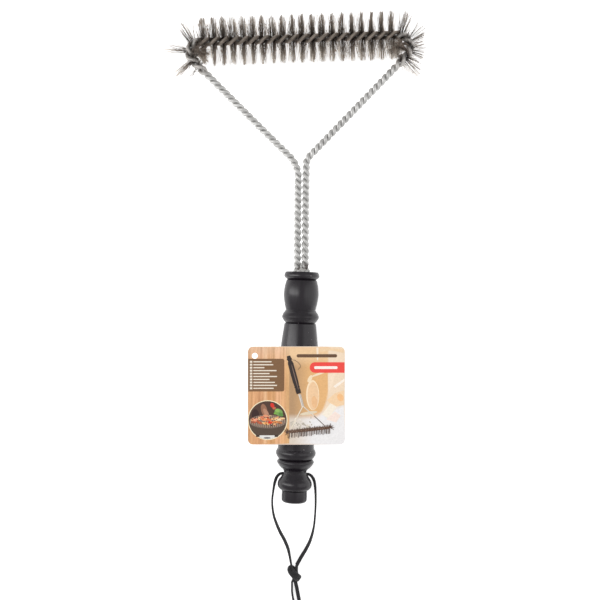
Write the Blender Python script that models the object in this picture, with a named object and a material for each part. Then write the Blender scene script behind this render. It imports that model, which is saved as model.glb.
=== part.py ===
"""Grill cleaning brush lying on a table: turned wooden handle, frame of two twisted steel wires, bristle
fans clamped between them, hanging lace and header card.

Sizes are in millimetres and become metres through MM. Places on the brush are given from the middle of
the handle's end face: across to the right, along towards the bristles, and up from the table.
"""

import math

import bmesh
import bpy
from mathutils import Matrix, Vector

MM = 0.001
GAP = 0.3

# Place of the middle of the handle's end face, with the whole brush centred on the origin
END_X = 12.35
END_Y = -215.6
AXIS_Z = 17.45

# Handle: distance along, radius, and how far the stretch up to the next point bulges outwards
HANDLE_OUTLINE = (
    (0.0, 8.7, 0.7),
    (2.6, 11.1, 0.1),
    (10.2, 11.0, 0.0),
    (10.5, 10.2, 0.0),
    (10.8, 11.8, 1.0),
    (16.0, 15.0, 0.5),
    (21.2, 12.7, -0.2),
    (26.5, 9.9, -0.5),
    (30.1, 12.6, 0.3),
    (35.0, 16.1, 0.6),
    (37.6, 14.1, 0.5),
    (42.5, 17.4, 0.5),
    (46.8, 15.8, -0.1),
    (56.6, 15.8, -0.3),
    (98.6, 16.7, 0.3),
    (137.3, 16.1, 0.1),
    (155.8, 13.8, 0.0),
    (156.6, 12.8, 0.3),
    (161.6, 16.2, 0.5),
    (166.6, 13.7, 0.1),
    (168.0, 12.9, 0.3),
    (180.5, 15.2, 0.5),
    (193.6, 13.4, 0.0),
    (194.6, 12.4, 0.3),
    (197.2, 15.3, 0.4),
)
HANDLE_LENGTH = 201.2
HANDLE_TOP_RADIUS = 14.1
HANDLE_SIDES = 40
ARC_PARTS = 4
SOCKET_RADIUS = 7.5
SOCKET_DEPTH = 42.0
LACE_HOLE_RADIUS = 2.3
LACE_HOLE_ALONG = 24.6

# Wires and the frame that they are bent into
WIRE_RADIUS = 1.55
LEG_LAY = 1.72
HEAD_LAY = 2.15
LEG_PITCH = 11.15
HEAD_PITCH = 17.2
LAY_RAMP = 8.0
WIRE_POINTS_PER_TURN = 8
LEG_SPACING = 6.9
LEG_END_ALONG = 163.6
MOUTH_BEND = 60.0
LEFT_FORK_BEND = 25.0
RIGHT_FORK_BEND = 12.0
LEFT_CORNER_BEND = 9.2
RIGHT_CORNER_BEND = 10.4
HEAD_CORE_Z = 22.31
MOUTH_ACROSS = -0.75
LEFT_FORK = (-6.55, 294.4)
RIGHT_FORK = (0.35, 299.3)
LEFT_CORNER = (-117.6, 396.5)
RIGHT_CORNER = (102.2, 411.8)
FRAME_RISE = (HEAD_CORE_Z - AXIS_Z) / (LEFT_CORNER[1] - HANDLE_LENGTH)

# Bristles, counted from the first fan that stands clear of the left corner
FAN_RADIUS = 21.5
FAN_ROOT = 3.4
FAN_ROOT_HALF = 0.22
FAN_SPREAD = 0.14
FAN_SECTIONS = 7
FIRST_FAN_FROM_CORNER = 21.5
FANS_BEFORE = 6
FANS_AFTER = 21
CORNER_INSIDE = 0.6
ARM_INSIDE = 4.2
ROPE_CLEARANCE = 6.5
SHORTEST_REACH = 4.4
TRIM_ACROSS = 99.3

# Resin in the socket, split by the slot that the legs stand in
RESIN_RADIUS = 7.1
RESIN_FLOOR = 2.0
RESIN_PROUD = 1.0
RESIN_SLOT = 7.2

# Header card on its pad of foam tape
CARD_SIZE = (83.2, 84.0)
CARD_CORNER = 4.3
CARD_THICKNESS = 0.5
CARD_PLACE = (-1.15, 94.9)
CARD_TURN = math.radians(1.98)
CARD_HOLE_RADIUS = 2.5
CARD_HOLE_PLACE = (-35.6, 34.0)
PAD_SIZE = (12.0, 60.0, 1.0)
HANDLE_UNDER_CARD = 17.0

# Hanging lace of flat suede cord: hand-set routes of its two sides and two tails, each point with
# how far the cord's flat side is tilted from lying down, in degrees
LACE_WIDTH = 3.3
LACE_THICKNESS = 1.8
LACE_STEP = 5.0
LEFT_LACE = (
    (-0.2, 24.6, 17.45, 90),
    (-6.0, 24.6, 17.45, 75),
    (-11.9, 24.6, 17.45, 60),
    (-15.4, 22.0, 17.4, 55),
    (-17.3, 16.9, 17.3, 62),
    (-18.5, 9.1, 16.4, 84),
    (-19.2, 0.0, 14.8, 90),
    (-18.5, -8.4, 12.5, 85),
    (-16.6, -16.8, 10.0, 75),
    (-12.1, -27.9, 7.0, 60),
    (-7.3, -36.7, 4.9, 56),
    (-3.8, -44.9, 3.6, 60),
    (-1.8, -52.9, 3.3, 80),
    (-0.4, -59.4, 4.4, 90),
)
RIGHT_LACE = (
    (0.2, 24.6, 17.45, 90),
    (6.0, 24.6, 17.45, 105),
    (11.9, 24.6, 17.45, 120),
    (15.4, 22.0, 17.4, 125),
    (17.4, 17.3, 17.3, 118),
    (18.5, 8.7, 16.4, 100),
    (19.0, -1.4, 14.4, 90),
    (18.9, -12.6, 11.2, 85),
    (18.2, -24.0, 7.8, 75),
    (15.8, -35.5, 4.7, 50),
    (12.3, -44.1, 2.9, 30),
    (7.8, -52.4, 2.4, 10),
    (4.3, -58.8, 4.0, 0),
)
KNOT_PLACE = (2.5, -66.6, 4.9)
KNOT_HALF = (5.6, 7.0, 4.7)
LEFT_TAIL = (
    (0.7, -74.0, 4.4, 90),
    (0.8, -79.2, 3.0, 90),
    (1.0, -83.5, 2.0, 90),
    (2.1, -89.3, 1.8, 90),
    (3.8, -96.4, 1.75, 90),
    (5.1, -104.4, 1.75, 90),
)
RIGHT_TAIL = (
    (3.7, -74.0, 4.6, 0),
    (5.0, -79.2, 2.4, 0),
    (6.0, -84.0, 1.2, 0),
    (7.5, -90.7, 0.95, 0),
    (9.5, -98.3, 0.95, 0),
    (12.8, -108.0, 0.95, 0),
)


def place(across, along, up):
    """World position in metres of a place on the brush in millimetres."""
    return Vector((END_X + across, END_Y + along, up)) * MM


def clear_scene():
    for thing in list(bpy.data.objects):
        bpy.data.objects.remove(thing, do_unlink=True)


def make_material(name, color, roughness, metallic=0.0):
    material = bpy.data.materials.new(name)
    material.use_nodes = True
    shader = material.node_tree.nodes["Principled BSDF"]
    shader.inputs["Base Color"].default_value = (*color, 1.0)
    shader.inputs["Roughness"].default_value = roughness
    shader.inputs["Metallic"].default_value = metallic
    return material


def add_object(name, data, material, parent=None):
    thing = bpy.data.objects.new(name, data)
    data.materials.append(material)
    bpy.context.scene.collection.objects.link(thing)
    if parent:
        thing.parent = parent
        thing.matrix_parent_inverse = parent.matrix_world.inverted()
    return thing


def add_mesh(name, bm, material, smooth=True, parent=None):
    bmesh.ops.recalc_face_normals(bm, faces=bm.faces)
    mesh = bpy.data.meshes.new(name)
    bm.to_mesh(mesh)
    bm.free()
    if smooth:
        mesh.shade_smooth()
        mesh.set_sharp_from_angle(angle=math.radians(35))
    return add_object(name, mesh, material, parent)


def add_tube(name, points, radius, resolution, material, parent=None):
    """Round rod with closed ends along a row of points."""
    curve = bpy.data.curves.new(name, "CURVE")
    curve.dimensions = "3D"
    curve.bevel_depth = radius
    curve.bevel_resolution = resolution
    curve.use_fill_caps = True
    spline = curve.splines.new("POLY")
    spline.points.add(len(points) - 1)
    for slot, point in zip(spline.points, points):
        slot.co = (*point, 1.0)
    return add_object(name, curve, material, parent)


def add_rings(bm, rings):
    """Skin over a row of equal rings, closed at both ends."""
    for ring, after in zip(rings, rings[1:]):
        for i, vertex in enumerate(ring):
            j = (i + 1) % len(ring)
            bm.faces.new((vertex, ring[j], after[j], after[i]))
    bm.faces.new(rings[0])
    bm.faces.new(rings[-1])


def add_strap(name, route, material, parent):
    """Flat cord with rounded edges, tilted along its route as the route says."""
    bm = bmesh.new()
    points = smooth_route(route, LACE_STEP)
    half_width = LACE_WIDTH / 2
    half_thickness = LACE_THICKNESS / 2
    shoulder = half_width - 0.5 * half_thickness
    outline = [(half_width, 0), (shoulder, half_thickness), (-shoulder, half_thickness)]
    outline += [(-width, -thickness) for width, thickness in outline]
    rings = []
    for i, point in enumerate(points):
        before = points[max(0, i - 1)]
        after = points[min(len(points) - 1, i + 1)]
        travel = (after - before).to_3d().normalized()
        level = travel.cross(Vector((0, 0, 1))).normalized()
        flat = Matrix.Rotation(math.radians(point[3]), 3, travel) @ level
        thin = travel.cross(flat)
        centre = point.to_3d()
        ring = [bm.verts.new(place(*(centre + flat * w + thin * t))) for w, t in outline]
        rings.append(ring)
    add_rings(bm, rings)
    add_mesh(name, bm, material, parent=parent)


def cylinder(radius, length, centre, direction):
    """Closed cylinder in millimetres round a world point."""
    bm = bmesh.new()
    bmesh.ops.create_cone(
        bm,
        cap_ends=True,
        segments=24,
        radius1=radius * MM,
        radius2=radius * MM,
        depth=length * MM,
    )
    turn = Vector(direction).to_track_quat("Z", "Y").to_matrix().to_4x4()
    bmesh.ops.transform(bm, matrix=Matrix.Translation(centre) @ turn, verts=bm.verts)
    return bm


def make_cutter(name, bm):
    """Hidden object for a Boolean cut."""
    mesh = bpy.data.meshes.new(name)
    bm.to_mesh(mesh)
    bm.free()
    cutter = bpy.data.objects.new(name, mesh)
    bpy.context.scene.collection.objects.link(cutter)
    cutter.hide_render = True
    cutter.display_type = "WIRE"
    return cutter


def cut(thing, cutter):
    boolean = thing.modifiers.new(cutter.name, "BOOLEAN")
    boolean.object = cutter
    boolean.operation = "DIFFERENCE"
    boolean.solver = "EXACT"


def arc_between(start, end, bulge):
    """Points from start up to, not including, end on an arc that stands out by bulge."""
    if abs(bulge) < 0.05:
        return [start]
    chord = end - start
    half = chord.length / 2
    radius = (half * half + bulge * bulge) / (2 * abs(bulge))
    outward = Vector((-chord.y, chord.x)).normalized() * math.copysign(1, bulge)
    centre = (start + end) / 2 - outward * (radius - abs(bulge))
    sweep = math.copysign(2 * math.asin(half / radius), -bulge)
    arm = start - centre
    points = []
    for step in range(ARC_PARTS):
        points.append(centre + Matrix.Rotation(sweep * step / ARC_PARTS, 2) @ arm)
    return points


def handle_outline():
    """The turned outline as (along, radius) points, ends on the axis left out."""
    corners = [Vector((along, radius)) for along, radius, _ in HANDLE_OUTLINE]
    corners.append(Vector((HANDLE_LENGTH, HANDLE_TOP_RADIUS)))
    points = []
    for (_, _, bulge), start, end in zip(HANDLE_OUTLINE, corners, corners[1:]):
        points += arc_between(start, end, bulge)
    return points + [corners[-1]]


def make_handle(material):
    """Wood turned round the Y axis, drilled for the wire legs and for the lace."""
    bm = bmesh.new()
    rings = []
    for point in handle_outline():
        ring = []
        for side in range(HANDLE_SIDES):
            angle = 2 * math.pi * side / HANDLE_SIDES
            across = point.y * math.cos(angle)
            up = AXIS_Z + point.y * math.sin(angle)
            ring.append(bm.verts.new(place(across, point.x, up)))
        rings.append(ring)
    add_rings(bm, rings)
    handle = add_mesh("handle", bm, material)
    socket_at = place(0, HANDLE_LENGTH - SOCKET_DEPTH / 2 + 1.0, AXIS_Z)
    socket = cylinder(SOCKET_RADIUS, SOCKET_DEPTH + 2.0, socket_at, (0, 1, 0))
    hole_at = place(0, LACE_HOLE_ALONG, AXIS_Z)
    lace_hole = cylinder(LACE_HOLE_RADIUS, 40.0, hole_at, (1, 0, 0))
    cut(handle, make_cutter("cut_leg_socket", socket))
    cut(handle, make_cutter("cut_lace_hole", lace_hole))


class BentPath:
    """Straight runs joined by arcs, measured along its length from the start."""

    def __init__(self, corners):
        self.pieces = []
        self.ends = [0.0]
        start = corners[0][0]
        for i in range(1, len(corners) - 1):
            corner, radius = corners[i]
            into = (corner - corners[i - 1][0]).normalized()
            out = (corners[i + 1][0] - corner).normalized()
            turn = into.angle(out)
            cut_back = radius * math.tan(turn / 2)
            bend_start = corner - into * cut_back
            side = (out - into * into.dot(out)).normalized()
            self.add(start, into, None, 0.0, (bend_start - start).length)
            self.add(bend_start, into, side, radius, radius * turn)
            start = corner + out * cut_back
        last = corners[-1][0] - start
        self.add(start, last.normalized(), None, 0.0, last.length)
        self.length = self.ends[-1]

    def add(self, start, into, side, radius, length):
        self.pieces.append((start, into, side, radius))
        self.ends.append(self.ends[-1] + length)

    def at(self, distance):
        """Point and direction of travel."""
        index = 0
        while index < len(self.pieces) - 1 and distance > self.ends[index + 1]:
            index += 1
        start, into, side, radius = self.pieces[index]
        ahead = distance - self.ends[index]
        if side is None:
            return start + into * ahead, into
        angle = ahead / radius
        point = start + into * (radius * math.sin(angle)) + side * (radius * (1 - math.cos(angle)))
        return point, into * math.cos(angle) + side * math.sin(angle)


def frame_corners():
    """Corners of the bent frame from the left leg's end round to the right leg's end."""

    def corner(across, along, radius):
        up = AXIS_Z + FRAME_RISE * max(0.0, along - HANDLE_LENGTH)
        return Vector((across, along, up)), radius

    half = LEG_SPACING / 2
    return [
        corner(MOUTH_ACROSS - half, LEG_END_ALONG, 0),
        corner(MOUTH_ACROSS - half, HANDLE_LENGTH, MOUTH_BEND),
        corner(*LEFT_FORK, LEFT_FORK_BEND),
        corner(*LEFT_CORNER, LEFT_CORNER_BEND),
        corner(*RIGHT_CORNER, RIGHT_CORNER_BEND),
        corner(*RIGHT_FORK, RIGHT_FORK_BEND),
        corner(MOUTH_ACROSS + half, HANDLE_LENGTH, MOUTH_BEND),
        corner(MOUTH_ACROSS + half, LEG_END_ALONG, 0),
    ]


class Lay:
    """How the two wires wind round the frame's path: left-handed, and longer where they hold bristles."""

    def __init__(self, path):
        self.path = path
        self.left_corner, self.head_start, self.head_end, self.right_corner = path.ends[5:9]
        self.first_fan = self.head_start + FIRST_FAN_FROM_CORNER
        self.start = self.fan_middle(-FANS_BEFORE - 0.5)
        self.end = self.fan_middle(FANS_AFTER + 0.5)
        self.normal = Vector((0, -FRAME_RISE, 1)).normalized()

    def fan_middle(self, number):
        return self.first_fan + number * HEAD_PITCH / 2

    def opened(self, distance):
        """1 where the wires hold bristles, 0 on the bare rope, and a ramp between."""
        before = (distance - self.start + LAY_RAMP) / LAY_RAMP
        after = (self.end + LAY_RAMP - distance) / LAY_RAMP
        return max(0.0, min(1.0, before, after))

    def turns(self, distance):
        """Turns from the path's start: the twist rate summed along it."""

        def ramp_area(ahead):
            if ahead <= 0:
                return 0.0
            return ahead * ahead / (2 * LAY_RAMP) if ahead < LAY_RAMP else ahead - LAY_RAMP / 2

        opened = ramp_area(distance - self.start + LAY_RAMP) - ramp_area(distance - self.end)
        return distance / LEG_PITCH + (1 / HEAD_PITCH - 1 / LEG_PITCH) * opened

    def section(self, distance):
        """Core point, direction from it to wire a, the bristles' direction, and the outward side."""
        core, travel = self.path.at(distance)
        front = (self.normal - travel * self.normal.dot(travel)).normalized()
        side = front.cross(travel)
        angle = math.pi / 2 - 2 * math.pi * (self.turns(distance) - self.turns(self.first_fan))
        wire = side * math.cos(angle) + front * math.sin(angle)
        bristle = side * math.sin(angle) - front * math.cos(angle)
        return core, wire, bristle, side


def make_wires(lay, material):
    """The two frame wires, on opposite sides of the same path."""
    distances = [0.0]
    while distances[-1] < lay.path.length:
        rate = 1 / LEG_PITCH + (1 / HEAD_PITCH - 1 / LEG_PITCH) * lay.opened(distances[-1])
        distances.append(distances[-1] + 1 / (rate * WIRE_POINTS_PER_TURN))
    distances[-1] = lay.path.length
    for name, sign in (("frame_wire_a", 1), ("frame_wire_b", -1)):
        route = []
        for distance in distances:
            core, wire, _, _ = lay.section(distance)
            reach = LEG_LAY + (HEAD_LAY - LEG_LAY) * lay.opened(distance)
            route.append(place(*(core + wire * reach * sign)))
        add_tube(name, route, WIRE_RADIUS * MM, 1, material)


def fan_limits(lay, distance, core, side):
    """Planes, as point and normal, that the bristles at this distance stop at."""
    if distance < lay.left_corner or distance > lay.right_corner:
        return [(core - side * ARM_INSIDE, side)]
    if distance < lay.head_start:
        return [(core - side * LEFT_CORNER_BEND * CORNER_INSIDE, side)]
    if distance > lay.head_end:
        return [(core - side * RIGHT_CORNER_BEND * CORNER_INSIDE, side)]
    limits = []
    for arm in (lay.left_corner - 1, lay.right_corner + 1):
        arm_core, _, _, arm_side = lay.section(arm)
        limits.append((arm_core - arm_side * ROPE_CLEARANCE, -arm_side))
    return limits


def reach_of(core, direction, limits):
    """How far the bristles go from the core before the first limit."""
    reach = FAN_RADIUS
    trim = Vector((TRIM_ACROSS, 0, 0)), Vector((-1, 0, 0))
    for point, normal in [*limits, trim]:
        falling = -direction.dot(normal)
        if falling > 0:
            reach = min(reach, (core - point).dot(normal) / falling)
    return max(SHORTEST_REACH, reach)


def make_fan(lay, number, material):
    """One half turn of the bristle spiral: a twisted blade, thin where the wires grip it."""
    bm = bmesh.new()
    half = HEAD_PITCH / 4 - GAP / 2
    middle = lay.fan_middle(number)
    rings = []
    for step in range(FAN_SECTIONS):
        distance = middle - half + 2 * half * step / (FAN_SECTIONS - 1)
        core, wire, bristle, side = lay.section(distance)
        limits = fan_limits(lay, distance, core, side)
        ahead = reach_of(core, bristle, limits)
        behind = reach_of(core, -bristle, limits)
        outline = [(ahead, FAN_SPREAD * ahead), (FAN_ROOT, FAN_ROOT_HALF), (0, FAN_ROOT_HALF)]
        outline += [(-FAN_ROOT, FAN_ROOT_HALF), (-behind, FAN_SPREAD * behind)]
        outline += [(along, -width) for along, width in reversed(outline)]
        ring = [
            bm.verts.new(place(*(core + bristle * along + wire * width))) for along, width in outline
        ]
        rings.append(ring)
    add_rings(bm, rings)
    add_mesh(f"bristle_fan_{number + FANS_BEFORE + 1:02d}", bm, material, smooth=False)


def add_box(bm, size, centre, turn=0.0):
    """Box of a size in millimetres round a world point, turned about the vertical."""
    matrix = Matrix.Translation(centre) @ Matrix.Rotation(turn, 4, "Z")
    matrix = matrix @ Matrix.Diagonal((*(side * MM for side in size), 1.0))
    bmesh.ops.create_cube(bm, size=1.0, matrix=matrix)


def make_resin(material):
    """Resin round the legs in the handle's socket, a little proud of its mouth."""
    floor = HANDLE_LENGTH - SOCKET_DEPTH + 2 * GAP
    length = HANDLE_LENGTH + RESIN_PROUD - floor
    middle = floor + length / 2
    body = cylinder(RESIN_RADIUS, length, place(0, middle, AXIS_Z), (0, 1, 0))
    resin = add_mesh("leg_resin", body, material)
    slot = bmesh.new()
    slot_size = (3 * RESIN_RADIUS, length, RESIN_SLOT)
    add_box(slot, slot_size, place(0, middle + RESIN_FLOOR, AXIS_Z))
    cut(resin, make_cutter("cut_leg_slot", slot))


def make_card(card_material, pad_material):
    """Punched card with round corners, on a pad of foam tape on the front of the handle."""
    pad_up = AXIS_Z + HANDLE_UNDER_CARD + GAP + PAD_SIZE[2] / 2
    pad = bmesh.new()
    add_box(pad, PAD_SIZE, place(0, CARD_PLACE[1], pad_up), CARD_TURN)
    add_mesh("card_pad", pad, pad_material, smooth=False)

    card_up = pad_up + PAD_SIZE[2] / 2 + GAP + CARD_THICKNESS / 2
    card = bmesh.new()
    add_box(card, (*CARD_SIZE, CARD_THICKNESS), place(*CARD_PLACE, card_up), CARD_TURN)
    uprights = [e for e in card.edges if abs(e.verts[0].co.z - e.verts[1].co.z) > 0.1 * MM]
    bmesh.ops.bevel(
        card, geom=uprights, offset=CARD_CORNER * MM, segments=5, profile=0.5, affect="EDGES"
    )
    header = add_mesh("header_card", card, card_material)
    turned = Matrix.Rotation(CARD_TURN, 2) @ Vector(CARD_HOLE_PLACE)
    hole_at = place(CARD_PLACE[0] + turned.x, CARD_PLACE[1] + turned.y, card_up)
    cut(header, make_cutter("cut_hang_hole", cylinder(CARD_HOLE_RADIUS, 10.0, hole_at, (0, 0, 1))))


def smooth_route(route, step):
    """Points a step apart on a smooth curve through the route's points, tilts included."""
    marks = [Vector(point) for point in route]
    marks = [2 * marks[0] - marks[1], *marks, 2 * marks[-1] - marks[-2]]
    fine = []
    for a, b, c, d in zip(marks, marks[1:], marks[2:], marks[3:]):
        for part in range(20):
            t = part / 20
            bend = 2 * a - 5 * b + 4 * c - d
            twist = 3 * (b - c) + d - a
            fine.append((2 * b + (c - a) * t + bend * t * t + twist * t**3) / 2)
    fine.append(marks[-2])
    lengths = [0.0]
    for before, after in zip(fine, fine[1:]):
        lengths.append(lengths[-1] + (after - before).to_3d().length)
    count = max(2, round(lengths[-1] / step))
    points = []
    index = 0
    for i in range(count + 1):
        goal = lengths[-1] * i / count
        while index < len(fine) - 2 and lengths[index + 1] < goal:
            index += 1
        share = (goal - lengths[index]) / (lengths[index + 1] - lengths[index])
        points.append(fine[index].lerp(fine[index + 1], share))
    return points


def make_lace(material):
    """Lace through the neck hole, its knot and tails, on an empty at the middle of the hole."""
    swing = bpy.data.objects.new("lace_swing", None)
    swing.location = place(0, LACE_HOLE_ALONG, AXIS_Z)
    bpy.context.scene.collection.objects.link(swing)
    bpy.context.view_layer.update()
    routes = {
        "lace_left": LEFT_LACE,
        "lace_right": RIGHT_LACE,
        "lace_tail_left": LEFT_TAIL,
        "lace_tail_right": RIGHT_TAIL,
    }
    for name, route in routes.items():
        add_strap(name, route, material, swing)
    knot = bmesh.new()
    shape = Matrix.Diagonal((*(half * MM for half in KNOT_HALF), 1.0))
    bmesh.ops.create_uvsphere(
        knot,
        u_segments=16,
        v_segments=10,
        radius=1.0,
        matrix=Matrix.Translation(place(*KNOT_PLACE)) @ shape,
    )
    add_mesh("lace_knot", knot, material, parent=swing)


def main():
    clear_scene()
    wood = make_material("black_painted_wood", (0.035, 0.03, 0.033), 0.42)
    steel = make_material("zinc_plated_wire", (0.72, 0.72, 0.71), 0.3, 1.0)
    bristle = make_material("bristle_steel", (0.2, 0.17, 0.15), 0.45, 0.9)
    resin = make_material("cast_resin", (0.3, 0.28, 0.25), 0.35)
    print_card = make_material("printed_card", (0.78, 0.58, 0.4), 0.5)
    foam = make_material("foam_tape", (0.85, 0.85, 0.83), 0.9)
    lace = make_material("black_lace", (0.02, 0.02, 0.022), 0.8)
    make_handle(wood)
    lay = Lay(BentPath(frame_corners()))
    make_wires(lay, steel)
    for number in range(-FANS_BEFORE, FANS_AFTER + 1):
        make_fan(lay, number, bristle)
    make_resin(resin)
    make_card(print_card, foam)
    make_lace(lace)


main()
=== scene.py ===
"""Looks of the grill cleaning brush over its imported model: twisted wires, bristles, painted handle,
printed card and knotted lace. Sizes are in millimetres and become metres through MM."""

import math
import random

import bmesh
import bpy
import numpy as np
from mathutils import Matrix, Vector, noise
from mathutils.geometry import delaunay_2d_cdt


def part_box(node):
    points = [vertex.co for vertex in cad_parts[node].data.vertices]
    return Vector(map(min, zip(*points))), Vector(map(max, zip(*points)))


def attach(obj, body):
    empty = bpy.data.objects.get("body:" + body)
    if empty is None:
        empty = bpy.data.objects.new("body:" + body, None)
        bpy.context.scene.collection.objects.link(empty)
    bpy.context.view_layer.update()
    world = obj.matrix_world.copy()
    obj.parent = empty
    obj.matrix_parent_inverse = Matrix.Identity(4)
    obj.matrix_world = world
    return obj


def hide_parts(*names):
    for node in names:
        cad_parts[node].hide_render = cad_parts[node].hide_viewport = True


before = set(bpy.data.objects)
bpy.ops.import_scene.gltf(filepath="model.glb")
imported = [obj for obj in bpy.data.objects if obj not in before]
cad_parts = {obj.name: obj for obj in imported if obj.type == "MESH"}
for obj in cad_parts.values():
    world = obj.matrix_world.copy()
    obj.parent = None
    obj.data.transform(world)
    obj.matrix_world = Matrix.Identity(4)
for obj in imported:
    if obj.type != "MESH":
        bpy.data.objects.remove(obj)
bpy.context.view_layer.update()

MM = 0.001
BRUSH, LACE = "brush", "hanging_lace"

# The middle of the handle's end face and the height of the handle's axis, from the frame
handle_low, handle_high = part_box("handle")
END_X = (handle_low[0] + handle_high[0]) / 2 / MM
END_Y = handle_low[1] / MM
AXIS_Z = (handle_low[2] + handle_high[2]) / 2 / MM
HANDLE_LENGTH = (handle_high[1] - handle_low[1]) / MM

# View: straight down, turned a little against the handle
VIEW_TURN = math.radians(1.98)
VIEW_AT = (-0.9, 176.7)
VIEW_DISTANCE = 850.0
VIEW_WIDTH = 525.0
SENSOR = 36.0

# Studio: lights as name, place, size and power, the glow of everything round, and the paper floor
LIGHTS = (
    ("key_light", (-0.8, 0.05, 0.65), (0.22, 1.4), 6.4),
    ("fill_light", (0.9, 0.0, 0.55), (0.8, 1.6), 3.8),
)
WHITE = (1.0, 1.0, 1.0, 1.0)
WORLD_GLOW = 0.6
FLOOR_GLOW = 0.6
FLOOR_HALF = 2.5

# Hanging lace of flat suede cord, as in the part's own source: across, along, up, tilt in degrees
LACE_WIDTH = 3.3
LACE_THICKNESS = 1.8
LACE_STEP = 1.0
CURVE_PARTS = 24
LACE_SIDES = 20
LACE_EDGE = 0.55
LACE_NAP = 0.035
LEFT_LACE = (
    (-0.2, 24.6, 17.45, 90), (-6.0, 24.6, 17.45, 75), (-11.9, 24.6, 17.45, 60),
    (-15.4, 22.0, 17.4, 55), (-17.3, 16.9, 17.3, 62), (-18.5, 9.1, 16.4, 84),
    (-19.2, 0.0, 14.8, 90), (-18.5, -8.4, 12.5, 85), (-16.6, -16.8, 10.0, 75),
    (-12.1, -27.9, 7.0, 60), (-7.3, -36.7, 4.9, 56), (-3.8, -44.9, 3.6, 60), (-1.8, -52.9, 3.3, 80),
    (-0.4, -59.4, 4.4, 90),
)
RIGHT_LACE = (
    (0.2, 24.6, 17.45, 90), (6.0, 24.6, 17.45, 105), (11.9, 24.6, 17.45, 120),
    (15.4, 22.0, 17.4, 125), (17.4, 17.3, 17.3, 118), (18.5, 8.7, 16.4, 100),
    (19.0, -1.4, 14.4, 90), (18.9, -12.6, 11.2, 85), (18.2, -24.0, 7.8, 75), (15.8, -35.5, 4.7, 50),
    (12.3, -44.1, 2.9, 30), (7.8, -52.4, 2.4, 10), (4.3, -58.8, 4.0, 0),
)
LEFT_TAIL = (
    (0.7, -74.0, 4.4, 90), (0.8, -79.2, 3.0, 90), (1.0, -83.5, 2.0, 90), (2.1, -89.3, 1.8, 90),
    (3.8, -96.4, 1.75, 90), (5.1, -104.4, 1.75, 90),
)
RIGHT_TAIL = (
    (3.7, -74.0, 4.6, 0), (5.0, -79.2, 2.4, 0), (6.0, -84.0, 1.2, 0), (7.5, -90.7, 0.95, 0),
    (9.5, -98.3, 0.95, 0), (12.8, -108.0, 0.95, 0),
)
KNOT_PLACE = (2.5, -66.6, 4.9)
KNOT_SCALE = (-1.72, 2.2, 1.25)
KNOT_STRAND_RADIUS = 1.62
KNOT_ROUTE_END = 2.05
KNOT_STRAIGHT_FROM = 1.5
KNOT_POINTS = 90
KNOT_STEP = 0.4
KNOT_SIDES = 14
KNOT_TAPER = 9

# Frame wires, as in the part's own source but touching each other
WIRE_RADIUS = 1.7
LEG_LAY = 1.7
HEAD_LAY = 2.15
LEG_PITCH = 11.15
HEAD_PITCH = 17.2
LAY_RAMP = 8.0
LEG_SPACING = 6.9
LEG_END_ALONG = 164.1
MOUTH_BEND = 60.0
LEFT_FORK_BEND = 25.0
RIGHT_FORK_BEND = 12.0
LEFT_CORNER_BEND = 9.2
RIGHT_CORNER_BEND = 10.4
HEAD_CORE_Z = 22.31
MOUTH_ACROSS = -0.75
LEFT_FORK = (-6.55, 294.4)
RIGHT_FORK = (0.35, 299.3)
LEFT_CORNER = (-117.6, 396.5)
RIGHT_CORNER = (102.2, 411.8)
FRAME_RISE = (HEAD_CORE_Z - AXIS_Z) / (LEFT_CORNER[1] - HANDLE_LENGTH)
WIRE_STEP = 0.55
WIRE_SIDES = 14
# Brown of the wires at the bends, as a share of the head's: dirt and painted shade of the bristles
# round them
BEND_DIRT_AND_SHADE = 0.35
# How much of the painted shade in the wires' groove is lost where they open round the bristles
OPEN_GROOVE_SHADE_LOSS = 0.6
DRAWN_LENGTH = 0.06
DRAWN_APART = 9

# Bristles
BRISTLE_RADIUS = 0.15
BRISTLES_PER_FAN = 88
BRISTLE_REACH = 21.3
WORN_FAN_REACH = 13.5
WORN_FAN_SHARE = 0.3
BENT_FAN_LOSS = 0.35
TRIM_ACROSS = 99.6
FIRST_FAN_FROM_CORNER = 21.5
FANS_BEFORE = 6
FANS_AFTER = 21
CORNER_INSIDE = 2.1
ARM_INSIDE = 5.0
ROPE_CLEARANCE = 5.0
SHORTEST_REACH = 4.6
BRISTLE_BENDS = (0.0, 0.3, 0.62, 1.0)
BRISTLE_EDGES = (0.5, 0.5 + 2.0944, 0.5 + 4.1888)
ROOT_CROWDING = 1.35
ROOT_SHIFT = 0.4
PALE_SELDOM = 1.7
STRAY_SHARE = 0.22
STRAY_FACTOR = 3.2
BENT_FAN_RAGGED = 1.9
LEAN_ACROSS = 0.05
LEAN_ALONG = 0.036
LENGTH_SPREAD = 0.075
CURL = (0.6, 0.4)
# Bristles that lean up are painted darker and those that lean down paler: painted shade
UP_SCALES_TONE = 0.75
UP_LOWERS_TONE = 0.14
FAN_SEED = 500

# Handle outline: distance along, radius, and how far the stretch to the next point bulges out
HANDLE_OUTLINE = (
    (0.0, 8.7, 0.7), (2.6, 11.1, 0.1), (10.2, 11.0, 0.0), (10.5, 10.2, 0.0), (10.8, 11.8, 1.0),
    (16.0, 15.0, 0.5), (21.2, 12.7, -0.2), (26.5, 9.9, -0.5), (30.1, 12.6, 0.3), (35.0, 16.1, 0.6),
    (37.6, 14.1, 0.5), (42.5, 17.4, 0.5), (46.8, 15.8, -0.1), (56.6, 15.8, -0.3), (98.6, 16.7, 0.3),
    (137.3, 16.1, 0.1), (155.8, 13.8, 0.0), (156.6, 12.8, 0.3), (161.6, 16.2, 0.5),
    (166.6, 13.7, 0.1), (168.0, 12.9, 0.3), (180.5, 15.2, 0.5), (193.6, 13.4, 0.0),
    (194.6, 12.4, 0.3), (197.2, 15.3, 0.4),
)
HANDLE_TOP_RADIUS = 14.1
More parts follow.
